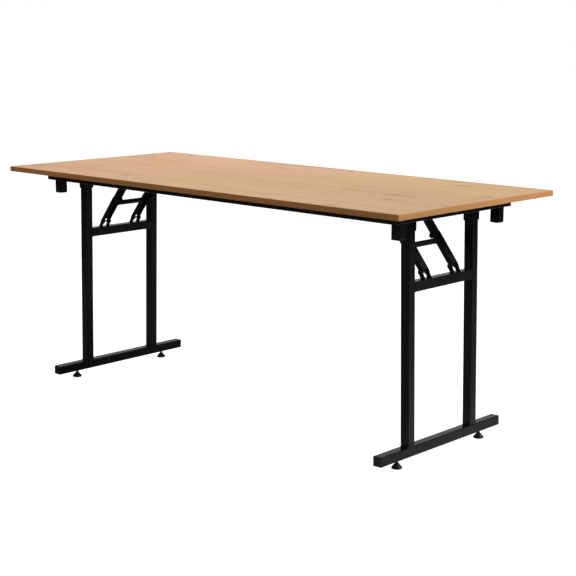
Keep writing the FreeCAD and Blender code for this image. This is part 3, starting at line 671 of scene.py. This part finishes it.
stay_lower = Vector(joints["right_lower_stay_turn"]["pos_m"])
stay_upper = Vector(joints["right_upper_stay_turn"]["pos_m"])
stay_along = (stay_upper - stay_lower).normalized()
stay_across = Vector((stay_along.z, 0, -stay_along.x))
tie_centre = stay_lower + stay_along * (KNEE_REACH - TIE_BELOW_KNEE) + stay_across * TIE_HEIGHT
tie_turns = [2 * math.pi * i / TIE_STEPS for i in range(TIE_STEPS + 1)]
tie_ring = [(tie_centre.x + TIE_RADIUS * math.cos(a), tie_centre.z + TIE_RADIUS * math.sin(a)) for a in tie_turns]
tie_seams = [[(x, y, z) for x, z in tie_ring] for y in (-TIE_HALF, TIE_HALF)]

for side, sign in SIDES:
    hinge = Vector(joints[f"{side}_leg_fold"]["pos_m"])
    set_leg = Matrix.Translation(hinge) @ Matrix.Rotation(-sign * LEAN, 4, "Y")
    leg_lines = [[set_leg @ point for point in seam] for seam in mirrored(leg_seams, sign)]
    weld_piece(f"{side}_leg_welds", leg_lines, f"{side}_leg")
    weld_piece(f"{side}_tie_welds", mirrored(tie_seams, sign), f"{side}_lower_stays", Bead=TIE_BEAD)

# %% [markdown]
# Under the board, beads hold the stacking stubs and the hinge brackets below the rails, and the cross
# rails between the long ones.

# %% Weld seams of the frame
RAIL_LOW, RAIL_HIGH, RAIL_INNER_Y = 0.670, 0.698, 0.231
STUB_Y, BRACKET_HALF = 0.2215, 0.018
STUB_SEAM = (0.6945, 0.713)
HINGE_RAIL_X, STAY_RAIL_X = 0.6695, 0.5176
frame_seams = []
for sign in (1, -1):
    hinge_sides, stay_sides = ((sign * x - HALF, sign * x + HALF) for x in (HINGE_RAIL_X, STAY_RAIL_X))
    for y in (-1, 1):
        for edge in (STUB_Y - HALF, STUB_Y + HALF):
            frame_seams.append([(sign * x, y * edge, RAIL_LOW) for x in STUB_SEAM])
        for edge in (UPRIGHT_Y - BRACKET_HALF, UPRIGHT_Y + BRACKET_HALF):
            frame_seams.append([(x, y * edge, RAIL_LOW) for x in hinge_sides])
        for x in hinge_sides + stay_sides:
            frame_seams.append([(x, y * RAIL_INNER_Y, z) for z in (RAIL_LOW + SEAM_END, RAIL_HIGH - SEAM_END)])
weld_piece("frame_welds", frame_seams, "table_top")

# %% [markdown]
# The picture was taken on white: soft light from above, a second lamp from the right, and a pale backdrop
# behind the table that shows as a sheen on every upper face. Only a weak fill comes from the front, which
# leaves the front edge and the front faces of the legs dark. The sky is white for the camera but dim for
# the table.

# %% Studio light
WHITE = (1, 1, 1, 1)
SKY_LIGHT, SKY_SEEN = 0.09, 1.0
LIGHTS = [("overhead", (-0.9, 0.5, 3.0), (-0.15, 0.1, 0.7), (3.0, 2.4), 68),
          ("right_side", (3.3, 1.6, 2.3), (0.75, 0.1, 0.65), (1.5, 1.2), 97),
          ("backdrop", (-4.5, 5.0, 1.3), (0, 0, 0.5), (8.0, 2.6), 33),
          ("front_fill", (-0.4, -4.8, 1.8), (0, 0, 0.6), (3.5, 1.6), 44)]


def area_light(name, place, aim, size, power):
    """Soft rectangular light that looks at a point."""
    data = bpy.data.lights.new(name, "AREA")
    data.shape = "RECTANGLE"
    data.size, data.size_y = size
    data.energy = power
    lamp = bpy.data.objects.new(name, data)
    scene.collection.objects.link(lamp)
    lamp.location = place
    lamp.rotation_euler = (Vector(aim) - Vector(place)).to_track_quat("-Z", "Y").to_euler()


for light in LIGHTS:
    area_light(*light)
world = bpy.data.worlds.new("studio")
scene.world = world
world.use_nodes = True
sky = world.node_tree
background = sky.nodes["Background"]
camera_ray = sky.nodes.new("ShaderNodeLightPath").outputs["Is Camera Ray"]
sky.links.new(between(sky, camera_ray, SKY_LIGHT, SKY_SEEN), background.inputs["Strength"])
background.inputs["Color"].default_value = WHITE
scene.view_settings.view_transform = "Standard"
print("lights", len(LIGHTS))

# %% [markdown]
# The floor is a plain pale sheet. Like the sky it is white for the camera but dimmer for the table. Near the right
# leg a round patch of painted light is laid on it: there the floor itself gives off light, fading with distance, and
# the lower parts of the legs catch it.

# %% Floor
FLOOR_HALF = 14.0
FLOOR_STOPS = [(0.3, (0.23, 0.23, 0.23)), (0.7, (0.27, 0.27, 0.27))]
FLOOR_SEEN = 1.05
# Painted light: a round patch of floor near the right leg gives off light for the table, though no lamp stands
# there.
PAINTED_PATCH_PLACE, PAINTED_PATCH_REACH, PAINTED_PATCH_STRENGTH = (0.95, 0.10, 0), 1.0, 0.43
floor_mesh = bpy.data.meshes.new("floor")
floor_mesh.from_pydata([(x * FLOOR_HALF, y * FLOOR_HALF, 0) for x, y in ((-1, -1), (1, -1), (1, 1), (-1, 1))],
                       [], [(0, 1, 2, 3)])
floor = bpy.data.objects.new("floor", floor_mesh)
scene.collection.objects.link(floor)
pale, pale_tree, pale_shader, pale_where = new_material("pale_floor", Roughness=0.9, Specular_IOR_Level=0.1)
pale_tone = ramp(pale_tree, noise(pale_tree, pale_where, 1.5, 2), FLOOR_STOPS)
pale_tree.links.new(pale_tone, pale_shader.inputs["Base Color"])
pale_shader.inputs["Emission Color"].default_value = WHITE
floor_seen = pale_tree.nodes.new("ShaderNodeLightPath").outputs["Is Camera Ray"]
# Painted light: the floor's emission strength falls smoothly from the patch's middle to its edge.
painted_light_patch = add_node(pale_tree, "ShaderNodeVectorMath", {0: pale_where, 1: PAINTED_PATCH_PLACE},
                operation="DISTANCE").outputs["Value"]
painted_light_patch = add_node(pale_tree, "ShaderNodeMapRange",
                {"Value": painted_light_patch, "From Max": PAINTED_PATCH_REACH, "To Min": PAINTED_PATCH_STRENGTH, "To Max": 0.0},
                interpolation_type="SMOOTHSTEP").outputs[0]
painted_patch_and_white_emission = maths(pale_tree, "MAXIMUM", painted_light_patch, maths(pale_tree, "MULTIPLY", floor_seen, FLOOR_SEEN))
pale_tree.links.new(painted_patch_and_white_emission, pale_shader.inputs["Emission Strength"])
floor.data.materials.append(pale)
print("floor ready")
